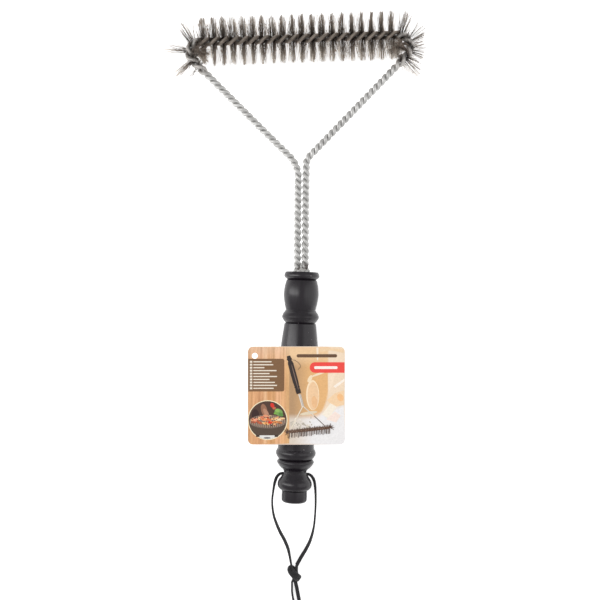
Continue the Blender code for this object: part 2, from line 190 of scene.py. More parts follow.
HANDLE_SIDES = 96
HANDLE_SHARP = 28
SOCKET_RADIUS = 7.5
SOCKET_DEPTH = 42.0
LACE_HOLE_RADIUS = 2.3
LACE_HOLE_ALONG = 24.6
HOLE_SIDES = 48
LACE_CUTTER_LENGTH = 40
LEAST_BULGE = 0.05
ARC_PARTS = 8

# Resin: the plug in the socket, and drips on the legs as place, three radii and how dirty each is
RESIN_RADIUS = 7.1
RESIN_SIDES = 24
DRIP_SIDES = 16
DRIP_ROWS = 10
PLUG_LUMPS = 0.9
DRIP_LUMPS = 0.8
LUMP_PITCH = 0.55
RESIN_END = ((0.0, 1.0), (0.7, 0.97), (1.5, 0.88), (2.2, 0.7), (2.7, 0.45), (2.9, 0.2))
RESIN_DRIPS = (
    ((-0.9, 202.6, 20.4), (2.4, 2.3, 2.0), 0.0),
    ((2.4, 202.4, 20.9), (2.0, 1.7, 1.5), 0.1),
    ((4.6, 202.2, 20.0), (2.0, 1.5, 1.8), 0.0),
    ((-4.6, 202.1, 19.8), (1.6, 1.3, 1.8), 0.2),
    ((-0.8, 206.4, 19.6), (1.1, 2.6, 1.2), 0.0),
    ((-2.9, 204.0, 20.9), (1.7, 1.2, 0.9), 1.0),
    ((3.7, 205.6, 20.9), (1.5, 2.4, 0.9), 1.0),
    ((2.2, 208.3, 20.6), (0.9, 1.5, 0.8), 0.8),
)

# Card, as in the part's own source
CARD_SIZE = (83.2, 84.0)
CARD_CORNER = 4.3
CARD_PLACE = (-1.15, 94.9)
CARD_TURN = math.radians(1.98)
CARD_HOLE_RADIUS = 2.5
CARD_HOLE_PLACE = (-35.6, 34.0)
CARD_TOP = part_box("header_card")[1][2] / MM

# Print on the card, in millimetres from its middle: boards from the left with each one's right edge
# and tint, the ends of the panel's rows, and the round picture's place. In the picture, ovals as
# place, half width, half height, turn and tint, and food without the turn. Tints are 0 to 255.
PRINT_MARGIN = 0.12
PRINT_LIFT = 0.02
PRINT_BASE = 0.03
PRINT_STEP = 0.002
SHEET_GRID = 1.0
INK_STRENGTH = 1.15
SCENE_FROM = -6.0
BOARDS = (
    (-37.0, (218, 172, 132)), (-33.0, (225, 177, 137)), (-28.5, (214, 166, 128)),
    (-25.5, (232, 190, 152)), (-21.5, (214, 165, 122)), (-18.5, (216, 170, 127)),
    (-13.5, (231, 184, 146)), (-9.5, (228, 182, 140)), (-6.0, (219, 178, 134)),
)
PANEL_ROWS = (-21.2, -19.8, -27.3, -16.9, -23.0, -16.5, -23.0, -18.3, -16.5, -19.4)
PICTURE_PLACE = (-24.6, -21.0)
SMOKE_AND_GREENS = (
    (-3.0, 8.6, 2.6, 5.4, 0.25, (150, 112, 92)), (-1.2, 6.0, 1.8, 4.4, 0.5, (182, 140, 118)),
    (-10.5, 4.5, 3.2, 4.8, 0.0, (62, 48, 46)), (4.0, 12.6, 1.6, 2.2, 0.4, (206, 66, 58)),
    (5.6, 10.2, 1.5, 1.1, 0.2, (190, 110, 84)), (9.4, 6.8, 3.7, 2.9, -0.5, (126, 160, 98)),
    (8.4, 8.2, 2.0, 1.3, -0.3, (150, 186, 106)), (11.4, 4.8, 2.2, 1.4, -0.6, (100, 138, 80)),
    (6.8, 6.0, 1.6, 1.0, 0.3, (128, 168, 88)),
)
FOOD = (
    (-11.0, 0.2, 3.2, 1.7, (222, 140, 112)), (-10.6, 0.6, 2.2, 1.0, (240, 172, 142)),
    (-5.6, 2.2, 2.8, 1.1, (208, 132, 106)), (-1.0, 3.4, 3.0, 1.1, (224, 156, 124)),
    (-6.8, -2.2, 2.6, 1.2, (176, 100, 74)), (-3.0, 0.6, 2.8, 1.2, (236, 160, 116)),
    (0.8, 0.4, 2.4, 1.1, (214, 120, 84)), (2.2, -2.0, 2.2, 1.3, (206, 60, 48)),
    (5.8, 1.2, 3.0, 1.0, (240, 196, 148)), (9.6, 0.4, 3.4, 1.0, (246, 222, 184)),
    (12.4, 1.4, 2.6, 0.8, (240, 206, 160)), (6.6, -1.8, 3.0, 1.1, (226, 150, 98)),
    (10.4, -2.0, 2.4, 0.9, (196, 132, 92)), (-12.6, -1.8, 2.0, 0.9, (150, 96, 76)),
    (-1.6, -2.8, 3.2, 1.2, (240, 190, 130)),
)
FOOD_TINTS = (
    (70, 50, 42), (236, 176, 120), (196, 92, 66), (250, 220, 170), (150, 98, 70), (222, 130, 96),
)
BRISTLE_TINTS = ((78, 60, 52), (96, 74, 64), (62, 48, 44))
CORE_TINTS = ((150, 128, 112), (66, 52, 46), (128, 104, 90))
TOOTH_STEP = 1.44
DRAWN_FATNESS = 0.145


def place(across, along, up):
    """World position in metres of a place on the brush in millimetres."""
    return Vector((END_X + across, END_Y + along, up)) * MM


def place_all(points):
    return (np.asarray(points, float) + (END_X, END_Y, 0.0)) * MM


# Camera, light and floor


def new_object(name, data):
    thing = bpy.data.objects.new(name, data)
    bpy.context.scene.collection.objects.link(thing)
    return thing


def mesh_from(bm, name):
    mesh = bpy.data.meshes.new(name)
    bm.to_mesh(mesh)
    bm.free()
    return mesh


def make_camera():
    data = bpy.data.cameras.new("camera")
    data.sensor_width = SENSOR
    data.lens = SENSOR * VIEW_DISTANCE / VIEW_WIDTH
    camera = new_object("camera", data)
    camera.location = place(*VIEW_AT, AXIS_Z + VIEW_DISTANCE)
    camera.rotation_euler = (0.0, 0.0, VIEW_TURN)
    bpy.context.scene.camera = camera


def make_light(name, at, size, power):
    """A rectangle of light that faces the brush's middle."""
    data = bpy.data.lights.new(name, "AREA")
    data.shape = "RECTANGLE"
    data.size, data.size_y = size
    data.energy = power
    light = new_object(name, data)
    light.location = at
    light.rotation_euler = (-light.location).to_track_quat("-Z", "Y").to_euler()


def make_studio():
    world = bpy.data.worlds.new("studio")
    world.use_nodes = True
    background = world.node_tree.nodes["Background"].inputs
    background["Color"].default_value = WHITE
    background["Strength"].default_value = WORLD_GLOW
    bpy.context.scene.world = world
    for light in LIGHTS:
        make_light(*light)

    bm = bmesh.new()
    bmesh.ops.create_grid(bm, x_segments=1, y_segments=1, size=FLOOR_HALF)
    floor = new_object("floor", mesh_from(bm, "floor"))
    paper = Shader("floor_paper", {"Roughness": 0.9, "Emission Strength": FLOOR_GLOW})
    paper.shader.inputs["Emission Color"].default_value = WHITE
    cloud = paper.noise(3.0, 2.0)
    paper.color(paper.ramp(cloud, 0.3, (0.93, 0.93, 0.93), 0.7, (0.95, 0.95, 0.95)))
    floor.data.materials.append(paper.material)
    bpy.context.scene.view_settings.view_transform = "Standard"


# Materials


class Shader:
    """A Principled material built up from a few node helpers, in object coordinates."""

    def __init__(self, name, values):
        self.material = bpy.data.materials.new(name)
        self.material.use_nodes = True
        tree = self.material.node_tree
        self.nodes, self.links = tree.nodes, tree.links
        self.shader = self.nodes["Principled BSDF"]
        for key, value in values.items():
            self.shader.inputs[key].default_value = value
        self.coordinates = self.nodes.new("ShaderNodeTexCoord")

    def stretched(self, scale):
        mapping = self.nodes.new("ShaderNodeMapping")
        mapping.inputs["Scale"].default_value = scale
        self.links.new(self.coordinates.outputs["Object"], mapping.inputs["Vector"])
        return mapping.outputs["Vector"]

    def noise(
        self, scale, detail, stretch=(1.0, 1.0, 1.0), roughness=0.5, distortion=0.0, source=None
    ):
        """Noise in stretched object coordinates, or in a vector stored on the mesh's points."""
        node = self.nodes.new("ShaderNodeTexNoise")
        node.inputs["Scale"].default_value = scale
        node.inputs["Detail"].default_value = detail
        node.inputs["Roughness"].default_value = roughness
        node.inputs["Distortion"].default_value = distortion
        space = self.attribute(source, "Vector") if source else self.stretched(stretch)
        self.links.new(space, node.inputs["Vector"])
        return node.outputs["Fac"]

    def attribute(self, name, output="Fac"):
        node = self.nodes.new("ShaderNodeAttribute")
        node.attribute_name = name
        return node.outputs[output]

    def ramp(self, source, low, first, high, second):
        """The first colour up to the low value and the second from the high one."""
        node = self.nodes.new("ShaderNodeValToRGB")
        stops = ((low, first), (high, second))
        for element, (position, color) in zip(node.color_ramp.elements, stops):
            element.position = position
            element.color = (*color, 1.0)
        self.links.new(source, node.inputs["Fac"])
        return node.outputs["Color"]

    def mix(self, factor, first, second, blend="MIX"):
        node = self.nodes.new("ShaderNodeMix")
        node.data_type = "RGBA"
        node.blend_type = blend
        for socket, value in ((0, factor), (6, first), (7, second)):
            if isinstance(value, (int, float)):
                node.inputs[socket].default_value = value
            elif isinstance(value, tuple):
                node.inputs[socket].default_value = (*value, 1.0)
            else:
                self.links.new(value, node.inputs[socket])
        return node.outputs[2]

    def span(self, source, low, high):
        node = self.nodes.new("ShaderNodeMapRange")
        node.inputs["To Min"].default_value = low
        node.inputs["To Max"].default_value = high
        self.links.new(source, node.inputs["Value"])
        return node.outputs["Result"]

    def color(self, source):
        self.links.new(source, self.shader.inputs["Base Color"])

    def roughness(self, source):
        self.links.new(source, self.shader.inputs["Roughness"])

    def bump(self, source, strength, depth):
        node = self.nodes.new("ShaderNodeBump")
        node.inputs["Strength"].default_value = strength
        node.inputs["Distance"].default_value = depth * MM
        self.links.new(source, node.inputs["Height"])
        before = self.shader.inputs["Normal"].links
        if before:
            self.links.new(before[0].from_socket, node.inputs["Normal"])
        self.links.new(node.outputs["Normal"], self.shader.inputs["Normal"])


def painted_wood():
    """Satin black paint, with the turned wood's grain and a few worn specks showing."""
    shader = Shader("black_painted_wood", {"Specular IOR Level": 0.42})
    grain = shader.noise(1.0, 5.0, (700.0, 22.0, 700.0), 0.6)
    cloud = shader.noise(45.0, 3.0)
    dark = shader.ramp(grain, 0.3, (0.005, 0.0035, 0.0055), 0.7, (0.015, 0.011, 0.016))
    paint = shader.mix(shader.span(cloud, 0.0, 0.35), dark, (0.013, 0.0095, 0.0135))
    spots = shader.noise(420.0, 1.0)
    specks = shader.ramp(spots, 0.78, (0.0, 0.0, 0.0), 0.8, (1.0, 1.0, 1.0))
    shader.color(shader.mix(specks, paint, (0.16, 0.14, 0.15)))
    shader.roughness(shader.span(cloud, 0.22, 0.38))
    shader.bump(grain, 0.2, 0.2)
    shader.bump(shader.noise(900.0, 2.0), 0.08, 0.05)
    return shader.material


def frame_steel():
    """Zinc-plated wire: drawn streaks, painted shade where the two wires touch, and brown at the
    bristles, partly dirt and partly painted shade.
    """
    shader = Shader("zinc_plated_wire", {"Metallic": 0.5})
    drawn = shader.noise(3.0, 3.0, source="wound")
    fine = shader.noise(1800.0, 3.0)
    bright = shader.ramp(drawn, 0.3, (0.34, 0.335, 0.325), 0.65, (0.74, 0.735, 0.72))
    # Painted shade: dark in the groove where the two wires touch
    groove_shade = shader.attribute("groove_shade")
    dirt_and_shade = shader.ramp(groove_shade, 0.5, (1.0, 1.0, 1.0), 0.82, (0.06, 0.055, 0.05))
    # Brown along the head: partly dirt, partly painted shade of the bristles round the wires
    browned = shader.mix(shader.attribute("bristled"), (1.0, 1.0, 1.0), (0.62, 0.53, 0.46))
    worn_and_shaded = shader.mix(1.0, bright, dirt_and_shade, "MULTIPLY")
    shader.color(shader.mix(1.0, worn_and_shaded, browned, "MULTIPLY"))
    shader.roughness(shader.span(fine, 0.36, 0.55))
    shader.bump(drawn, 0.25, 0.08)
    shader.bump(fine, 0.1, 0.03)
    return shader.material


def bristle_steel():
    """Dull steel bristles, each a little different, with painted shade: dark at the root in the dense
    core, pale towards the cut tips, and darker where they lean up.
    """
    shader = Shader("bristle_steel", {"Metallic": 0.4})
    tip = shader.attribute("reach")
    tone = shader.attribute("tone")
    # Painted shade: dark at the root in the dense core, paler towards the tips
    dark = shader.ramp(tip, 0.1, (0.03, 0.021, 0.016), 0.85, (0.21, 0.162, 0.13))
    light = shader.ramp(tip, 0.1, (0.16, 0.125, 0.1), 0.85, (0.9, 0.81, 0.7))
    shader.color(shader.mix(tone, dark, light))
    shader.roughness(shader.span(tone, 0.5, 0.34))
    return shader.material


def cast_resin():
    """Cloudy white resin, dark where the drips picked up dirt."""
    shader = Shader("cast_resin", {"Coat Weight": 0.4})
    cloud = shader.noise(500.0, 3.0)
    pale = shader.ramp(cloud, 0.3, (0.28, 0.27, 0.26), 0.7, (0.62, 0.61, 0.59))
    dirt_and_shade = shader.ramp(cloud, 0.3, (0.05, 0.04, 0.038), 0.7, (0.14, 0.12, 0.11))
    shader.color(shader.mix(shader.attribute("dirt"), pale, dirt_and_shade))
    shader.roughness(shader.span(cloud, 0.2, 0.4))
    shader.bump(cloud, 0.3, 0.2)
    return shader.material


def foam_tape():
    shader = Shader("foam_tape", {"Roughness": 0.9})
    cells = shader.noise(2500.0, 2.0)
    shader.color(shader.ramp(cells, 0.3, (0.72, 0.72, 0.7), 0.7, (0.86, 0.86, 0.84)))
    shader.bump(cells, 0.4, 0.1)
    return shader.material


def lace_suede():
    """Black suede cord: short nap, a little dusty."""
    values = {"Roughness": 0.85, "Sheen Weight": 0.2, "Sheen Roughness": 0.4}
    shader = Shader("black_suede_cord", values)
    nap = shader.noise(2600.0, 4.0, roughness=0.7)
    cloud = shader.noise(220.0, 2.0)
    dark = shader.ramp(nap, 0.35, (0.005, 0.005, 0.006), 0.7, (0.026, 0.025, 0.028))
    shader.color(shader.mix(shader.span(cloud, 0.0, 0.4), dark, (0.02, 0.019, 0.021)))
    shader.bump(nap, 0.7, 0.25)
    return shader.material


# Shapes


def add_piece(name, mesh, material, body, *replaced, slot):
    """A new piece from a mesh in world metres, on a body, in place of CAD nodes."""
    piece = new_object(name, mesh)
    mesh.materials.append(material)
    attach(piece, body)
    if replaced:
        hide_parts(*replaced)
    return piece


def store(mesh, name, values, kind="FLOAT", field="value"):
    """One value for each point of the mesh, which its material reads by name."""
    mesh.attributes.new(name, kind, "POINT").data.foreach_set(field, np.ravel(values))


def smooth_route(route, step):
    """Rows a step apart, in millimetres, on a smooth curve through the route's rows."""
    marks = np.asarray(route, float)
    marks = np.vstack((2 * marks[0] - marks[1], marks, 2 * marks[-1] - marks[-2]))
    a, b, c, d = marks[:-3, None], marks[1:-2, None], marks[2:-1, None], marks[3:, None]
    t = (np.arange(CURVE_PARTS) / CURVE_PARTS)[None, :, None]
    bend = 2 * a - 5 * b + 4 * c - d
    twist = 3 * (b - c) + d - a
    fine = (2 * b + (c - a) * t + bend * t**2 + twist * t**3) / 2
    fine = np.vstack((fine.reshape(-1, marks.shape[1]), marks[-2]))
    steps = np.linalg.norm(np.diff(fine[:, :3], axis=0), axis=1)
    lengths = np.concatenate(([0.0], steps.cumsum()))
    goals = np.linspace(0.0, lengths[-1], max(3, round(lengths[-1] / step) + 1))
    return np.stack([np.interp(goals, lengths, column) for column in fine.T], axis=1)


def directions(points):
    travel = np.gradient(points[:, :3], axis=0)
    return travel / np.linalg.norm(travel, axis=1)[:, None]


def circle(sides):
    angles = np.arange(sides) * 2 * math.pi / sides
    return np.cos(angles), np.sin(angles)


def oval(x, y, wide, high, turn=0.0, count=20):
    points = []
    for i in range(count):
        angle = 2 * math.pi * i / count
        u, v = wide * math.cos(angle), high * math.sin(angle)
        right = x + u * math.cos(turn) - v * math.sin(turn)
        points.append((right, y + u * math.sin(turn) + v * math.cos(turn)))
    return points


def rod_rings(points, wide, thick, sides, start_side=(0.0, 0.0, 1.0)):
    """Oval rings along points, carried on without twist from the side they start with."""
    points = np.asarray(points, float)
    cos, sin = circle(sides)
    wide = np.broadcast_to(wide, len(points))
    thick = np.broadcast_to(thick, len(points))
    side = np.asarray(start_side, float)
    rings = []
    for point, travel, w, t in zip(points, directions(points), wide, thick):
        side = side - travel * side.dot(travel)
        side /= np.linalg.norm(side)
        rings.append(point + np.outer(cos * w, side) + np.outer(sin * t, np.cross(travel, side)))
    return rings


def strap_rings(points):
    """Rings of the flat cord, tilted as the fourth column says, with round edges and a nap."""
    cos, sin = circle(LACE_SIDES)
    wide = np.sign(cos) * np.abs(cos) ** LACE_EDGE * LACE_WIDTH / 2
    thick = np.sign(sin) * np.abs(sin) ** LACE_EDGE * LACE_THICKNESS / 2
    chance = np.random.default_rng(41)
    rings = []
    for point, travel in zip(points, directions(points)):
        level = np.cross(travel, (0.0, 0.0, 1.0))
        level /= np.linalg.norm(level)
        upper = np.cross(level, travel)
        tilt = math.radians(point[3])
        flat = level * math.cos(tilt) + upper * math.sin(tilt)
        nap = 1 + chance.uniform(-LACE_NAP, LACE_NAP, LACE_SIDES)
        across = np.outer(wide * nap, flat)
        rings.append(point[:3] + across + np.outer(thick * nap, np.cross(travel, flat)))
    return rings


def skin_mesh(name, skins, sharp=50):
    """One mesh over rows of rings, closed at both ends. Edges sharper than an angle stay sharp."""
    vertices, faces = [], []
    start = 0
    for rings in skins:
        count = len(rings[0])
        for i in range(len(rings) - 1):
            low = start + i * count
            for j in range(count):
                k = (j + 1) % count
                faces.append((low + j, low + k, low + count + k, low + count + j))
        faces.append([start + j for j in reversed(range(count))])
        last = start + (len(rings) - 1) * count
        faces.append([last + j for j in range(count)])
        vertices += rings
        start += len(rings) * count
    mesh = bpy.data.meshes.new(name)
    mesh.from_pydata(place_all(np.concatenate(vertices)).tolist(), [], faces)
    mesh.shade_smooth()
    mesh.set_sharp_from_angle(angle=math.radians(sharp))
    return mesh


# Lace


def knot_route():
    """An overhand knot's line from the bottom to the top, straightened towards its ends."""
    t = np.linspace(-KNOT_ROUTE_END, KNOT_ROUTE_END, KNOT_POINTS)
    straight = (KNOT_ROUTE_END - np.abs(t)) / (KNOT_ROUTE_END - KNOT_STRAIGHT_FROM)
    fade = np.clip(straight, 0.0, 1.0)
    fade = fade * fade * (3 - 2 * fade)
    across = (t**3 - 3 * t) * KNOT_SCALE[0] * fade
    along = (t**5 / 5 - 2 * t) * KNOT_SCALE[1]
    up = (t**4 - 4 * t**2 + 2) * KNOT_SCALE[2] * fade
    return np.stack((across, along, up), axis=1) + KNOT_PLACE


def make_knot(material):
    """Two strands side by side round the knot, from the lace's tails to its sides."""
    route = knot_route()
    travel = directions(route)
    beside = np.cross(travel, (0.35, 0.0, 1.0))
    beside /= np.linalg.norm(beside, axis=1)[:, None]
    strands = []
    for sign, side, tail in ((1, RIGHT_LACE, LEFT_TAIL), (-1, LEFT_LACE, RIGHT_TAIL)):
        strand = route + beside * KNOT_STRAND_RADIUS * sign
        marks = [tail[0][:3], *strand[6:-6:5].tolist(), side[-1][:3]]
        line = smooth_route(marks, KNOT_STEP)
        ahead = np.linspace(0.0, 1.0, len(line))
        squeezed = np.clip(np.minimum(ahead, 1 - ahead) * KNOT_TAPER, 0.0, 1.0)
        wide = LACE_WIDTH / 2 + (KNOT_STRAND_RADIUS - LACE_WIDTH / 2) * squeezed
        thick = LACE_THICKNESS / 2 + (KNOT_STRAND_RADIUS - LACE_THICKNESS / 2) * squeezed
        start_side = (0.0, 0.0, 1.0) if tail is LEFT_TAIL else (1.0, 0.0, 0.0)
        strands.append(rod_rings(line, wide, thick, KNOT_SIDES, start_side))
    mesh = skin_mesh("lace_overhand_knot", strands)
    return add_piece(mesh.name, mesh, material, LACE, "lace_knot", slot="lace")


def make_lace(material):
    """The two sides, the knot and the two tails."""
    knot = make_knot(material)
    for name, points, node, leaves, far_end, ties in (
        ("lace_side_left", LEFT_LACE, "lace_left", LEFT_LACE[1], "knot", [knot]),
        ("lace_side_right", RIGHT_LACE, "lace_right", RIGHT_LACE[1], "knot", []),
        ("lace_end_left", LEFT_TAIL, "lace_tail_left", LEFT_TAIL[0], "bare", []),
        ("lace_end_right", RIGHT_TAIL, "lace_tail_right", RIGHT_TAIL[0], "bare", []),
    ):
        line = smooth_route(points, LACE_STEP)
        mesh = skin_mesh(name, [strap_rings(line)])
        piece = add_piece(name, mesh, material, LACE, node, slot="lace")


# Frame wires and bristles


class BentPath:
    """Straight runs joined by arcs, measured along its length from the start."""

    def __init__(self, corners):
        self.pieces = []
        self.ends = [0.0]
        start = corners[0][0]
        for i in range(1, len(corners) - 1):
            corner, radius = corners[i]
            into = (corner - corners[i - 1][0]).normalized()
            out = (corners[i + 1][0] - corner).normalized()
            turn = into.angle(out)
            cut_back = radius * math.tan(turn / 2)
            bend_start = corner - into * cut_back
            side = (out - into * into.dot(out)).normalized()
            self.add(start, into, None, 0.0, (bend_start - start).length)
            self.add(bend_start, into, side, radius, radius * turn)
            start = corner + out * cut_back
        last = corners[-1][0] - start
        self.add(start, last.normalized(), None, 0.0, last.length)
        self.length = self.ends[-1]

    def add(self, start, into, side, radius, length):
        self.pieces.append((start, into, side, radius))
        self.ends.append(self.ends[-1] + length)

    def at(self, distance):
        """Point and direction of travel."""
        index = 0
        while index < len(self.pieces) - 1 and distance > self.ends[index + 1]:
            index += 1
        start, into, side, radius = self.pieces[index]
        ahead = distance - self.ends[index]
        if side is None:
            return start + into * ahead, into
        angle = ahead / radius
        point = start + into * (radius * math.sin(angle)) + side * (radius * (1 - math.cos(angle)))
        return point, into * math.cos(angle) + side * math.sin(angle)


def frame_corners():
    """Corners of the bent frame from the left leg's end round to the right leg's end."""

    def corner(across, along, radius):
        up = AXIS_Z + FRAME_RISE * max(0.0, along - HANDLE_LENGTH)
        return Vector((across, along, up)), radius

    half = LEG_SPACING / 2
    return [
        corner(MOUTH_ACROSS - half, LEG_END_ALONG, 0),
        corner(MOUTH_ACROSS - half, HANDLE_LENGTH, MOUTH_BEND),
        corner(*LEFT_FORK, LEFT_FORK_BEND),
        corner(*LEFT_CORNER, LEFT_CORNER_BEND),
        corner(*RIGHT_CORNER, RIGHT_CORNER_BEND),
        corner(*RIGHT_FORK, RIGHT_FORK_BEND),
        corner(MOUTH_ACROSS + half, HANDLE_LENGTH, MOUTH_BEND),
        corner(MOUTH_ACROSS + half, LEG_END_ALONG, 0),
    ]


class Lay:
    """How the two wires wind round the path: left-handed, and longer where they hold bristles."""

    def __init__(self, path):
        self.path = path
        self.left_corner, self.head_start, self.head_end, self.right_corner = path.ends[5:9]
        self.first_fan = self.head_start + FIRST_FAN_FROM_CORNER
        self.start = self.fan_middle(-FANS_BEFORE - 0.5)
        self.end = self.fan_middle(FANS_AFTER + 0.5)
        self.normal = Vector((0, -FRAME_RISE, 1)).normalized()

    def fan_middle(self, number):
        return self.first_fan + number * HEAD_PITCH / 2

    def opened(self, distance):
        """1 where the wires hold bristles, 0 on the bare rope, and a ramp between."""
        before = (distance - self.start + LAY_RAMP) / LAY_RAMP
        after = (self.end + LAY_RAMP - distance) / LAY_RAMP
        return max(0.0, min(1.0, before, after))

    def turns(self, distance):
        """Turns from the path's start: the twist rate summed along it."""

        def ramp_area(ahead):
            if ahead <= 0:
                return 0.0
            return ahead * ahead / (2 * LAY_RAMP) if ahead < LAY_RAMP else ahead - LAY_RAMP / 2

        opened = ramp_area(distance - self.start + LAY_RAMP) - ramp_area(distance - self.end)
        return distance / LEG_PITCH + (1 / HEAD_PITCH - 1 / LEG_PITCH) * opened

    def section(self, distance):
        """Core point, travel, direction to wire a, direction of the bristles, outward side."""
        core, travel = self.path.at(distance)
        front = (self.normal - travel * self.normal.dot(travel)).normalized()
        side = front.cross(travel)
        angle = math.pi / 2 - 2 * math.pi * (self.turns(distance) - self.turns(self.first_fan))
        wire = side * math.cos(angle) + front * math.sin(angle)
        bristle = side * math.sin(angle) - front * math.cos(angle)
        return core, travel, wire, bristle, side


def make_wires(lay, material):
    distances = np.linspace(0.0, lay.path.length, round(lay.path.length / WIRE_STEP))
    for name, node, sign in (("wire_a", "frame_wire_a", 1), ("wire_b", "frame_wire_b", -1)):
        route, inward, opened, bristled = [], [], [], []
        for distance in distances:
            core, _, wire, _, _ = lay.section(distance)
            opened.append(lay.opened(distance))
            # Brown of dirt and painted shade along the head, less at the bends
            on_head = lay.head_start < distance < lay.head_end
            bristled.append(opened[-1] * (1.0 if on_head else BEND_DIRT_AND_SHADE))
            reach = LEG_LAY + (HEAD_LAY - LEG_LAY) * opened[-1]
            route.append(core + wire * reach * sign)
            inward.append(-wire * sign)
        rings = rod_rings(route, WIRE_RADIUS, WIRE_RADIUS, WIRE_SIDES)
        mesh = skin_mesh(name, [rings])
        outward = (np.array(rings) - np.array(route)[:, None]) / WIRE_RADIUS
        # Painted shade on the side of each wire that faces the other, weaker where the wires open
        closed = (1 - OPEN_GROOVE_SHADE_LOSS * np.array(opened))[:, None]
        groove_shade = np.einsum("ijk,ik->ij", outward, np.array(inward)) * closed
        wound = np.empty((len(route), WIRE_SIDES, 3))
        wound[..., 0], wound[..., 1] = circle(WIRE_SIDES)
        wound[..., 2] = distances[:, None] * DRAWN_LENGTH + DRAWN_APART * sign
        store(mesh, "groove_shade", np.clip(groove_shade, 0, 1))
        store(mesh, "bristled", np.repeat(bristled, WIRE_SIDES))
        store(mesh, "wound", wound, "FLOAT_VECTOR", "vector")
        add_piece(name, mesh, material, BRUSH, node, slot="frame_wire")


def fan_limits(lay, distance, core, side):
    """Planes, as point and normal, that the bristles at this distance stop at."""
    if distance < lay.left_corner or distance > lay.right_corner:
        return [(core - side * ARM_INSIDE, side)]
    if distance < lay.head_start:
        return [(core - side * LEFT_CORNER_BEND * CORNER_INSIDE, side)]
    if distance > lay.head_end:
        return [(core - side * RIGHT_CORNER_BEND * CORNER_INSIDE, side)]
    limits = []
    for arm in (lay.left_corner - 1, lay.right_corner + 1):
        arm_core, _, _, _, arm_side = lay.section(arm)
        limits.append((arm_core - arm_side * ROPE_CLEARANCE, -arm_side))
    return limits


def reach_of(core, direction, limits, reach):
    """How far a bristle goes from the core, at most reach, before the first limit."""
    trim = Vector((TRIM_ACROSS, 0, 0)), Vector((-1, 0, 0))
    for point, normal in [*limits, trim]:
        falling = -direction.dot(normal)
        if falling > 0:
            reach = min(reach, (core - point).dot(normal) / falling)
    return max(SHORTEST_REACH, reach)


def make_fan(lay, number, material):
    """The bristles of one half turn, each bent a little its own way."""
    chance = random.Random(FAN_SEED + number)
    middle = lay.fan_middle(number)
    half = HEAD_PITCH / 4
    corners = np.array([[math.cos(a), math.sin(a)] for a in BRISTLE_EDGES]) * BRISTLE_RADIUS
    strands, tones, reaches = [], [], []
    worn_and_shaded = number == -FANS_BEFORE
    full_reach = WORN_FAN_REACH if worn_and_shaded else BRISTLE_REACH
    bent = middle < lay.head_start or middle > lay.head_end
    ragged = BENT_FAN_RAGGED if bent else 1.0
    for _ in range(round(BRISTLES_PER_FAN * (WORN_FAN_SHARE if worn_and_shaded else 1.0))):
        distance = middle + half * chance.choice((-1, 1)) * chance.random() ** ROOT_CROWDING
        core, travel, wire, bristle, side = lay.section(distance)
        limits = fan_limits(lay, distance, core, side)
        root = core + wire * chance.uniform(-ROOT_SHIFT, ROOT_SHIFT)
        tint = chance.random() ** PALE_SELDOM
        stray = ragged * (STRAY_FACTOR if chance.random() < STRAY_SHARE else 1.0)
        for way in (1, -1):
            outside = bristle.dot(side) * way > 0
            if bent and outside and chance.random() < BENT_FAN_LOSS:
                continue
            across_lean = wire * chance.gauss(0, LEAN_ACROSS * stray)
            lean = bristle * way + across_lean + travel * chance.gauss(0, LEAN_ALONG * stray)
            lean.normalize()
            shorter = 1 - abs(chance.gauss(0, LENGTH_SPREAD))
            length = reach_of(core, lean, limits, full_reach) * shorter
            curl = wire * chance.gauss(0, CURL[0]) + travel * chance.gauss(0, CURL[1])
            second = lean.cross(wire).normalized()
            first = second.cross(lean)
            # Painted shade: a bristle's random tint made darker the more it leans up, paler as it
            # leans down
            shaded = tint * (1.0 - UP_SCALES_TONE * lean.z) - UP_LOWERS_TONE * lean.z
            tone = min(1.0, max(0.0, shaded))
            strand = []
            for t in BRISTLE_BENDS:
                point = root + lean * length * t + curl * t * t
                strand.append(np.array([point + first * a + second * b for a, b in corners]))
                reaches += [t * length / BRISTLE_REACH] * len(corners)
            tones += [tone] * (len(corners) * len(strand))
            strands.append(strand)
    label = f"{number + FANS_BEFORE + 1:02d}"
    mesh = skin_mesh(f"bristles_{label}", strands, 180)
    store(mesh, "tone", tones)
    store(mesh, "reach", reaches)
    add_piece(mesh.name, mesh, material, BRUSH, f"bristle_fan_{label}", slot="bristles")


# Handle


def arc_between(start, end, bulge):
    """Points from start up to, not including, end on an arc that stands out by bulge."""
    if abs(bulge) < LEAST_BULGE:
        return [start]
    chord = end - start
    half = chord.length / 2
    radius = (half * half + bulge * bulge) / (2 * abs(bulge))
    outward = Vector((-chord.y, chord.x)).normalized() * math.copysign(1, bulge)
    centre = (start + end) / 2 - outward * (radius - abs(bulge))
    turn = math.copysign(2 * math.asin(half / radius), -bulge)
    arm = start - centre
    return [centre + Matrix.Rotation(turn * i / ARC_PARTS, 2) @ arm for i in range(ARC_PARTS)]


def handle_outline():
    corners = [Vector((along, radius)) for along, radius, _ in HANDLE_OUTLINE]
    corners.append(Vector((HANDLE_LENGTH, HANDLE_TOP_RADIUS)))
    points = []
    for (_, _, bulge), start, end in zip(HANDLE_OUTLINE, corners, corners[1:]):
        points += arc_between(start, end, bulge)
    return points + [corners[-1]]


